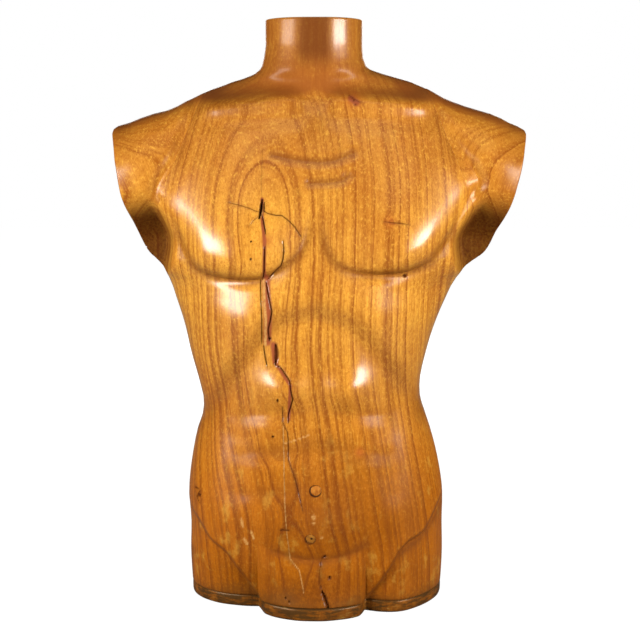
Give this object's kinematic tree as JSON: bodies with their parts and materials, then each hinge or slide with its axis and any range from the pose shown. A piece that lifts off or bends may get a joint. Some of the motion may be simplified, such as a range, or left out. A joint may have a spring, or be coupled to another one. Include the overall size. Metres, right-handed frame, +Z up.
{
  "type": "carved wooden torso form",
  "caption": "Hand-carved varnished wooden male torso form with cut neck and arm stumps, standing on a flat base board.",
  "frame": {"origin": "on the underside of the base board, on the middle plane of the torso", "axes": "+Z up through the neck, -Y the way the chest faces, +X to the right of someone looking at the chest"},
  "size_m": [0.4833, 0.237, 0.69],
  "materials": {
    "varnished_pine": "gloss varnish",
    "base_wood": "worn varnish",
    "plug_wood": "gloss varnish",
    "dowel_beech": "bare",
    "screw_steel": "bare steel"
  },
  "bodies": {
    "root": {"torso_front": "varnished_pine", "torso_back": "varnished_pine", "shoulder_left": "varnished_pine", "shoulder_right": "varnished_pine", "base_board": "base_wood", "navel_peg": "plug_wood", "knot_plug": "plug_wood", "seam_dowel_1": "dowel_beech", "seam_dowel_2": "dowel_beech", "seam_dowel_3": "dowel_beech", "seam_dowel_4": "dowel_beech", "seam_dowel_5": "dowel_beech", "seam_dowel_6": "dowel_beech", "seam_dowel_7": "dowel_beech", "seam_dowel_8": "dowel_beech", "shoulder_dowel_left_1": "dowel_beech", "shoulder_dowel_left_2": "dowel_beech", "shoulder_dowel_right_1": "dowel_beech", "shoulder_dowel_right_2": "dowel_beech", "base_screw_1": "screw_steel", "base_screw_2": "screw_steel", "base_screw_3": "screw_steel", "base_screw_4": "screw_steel", "base_screw_5": "screw_steel", "base_screw_6": "screw_steel", "base_screw_7": "screw_steel", "base_screw_8": "screw_steel"}
  },
  "joints": []
}
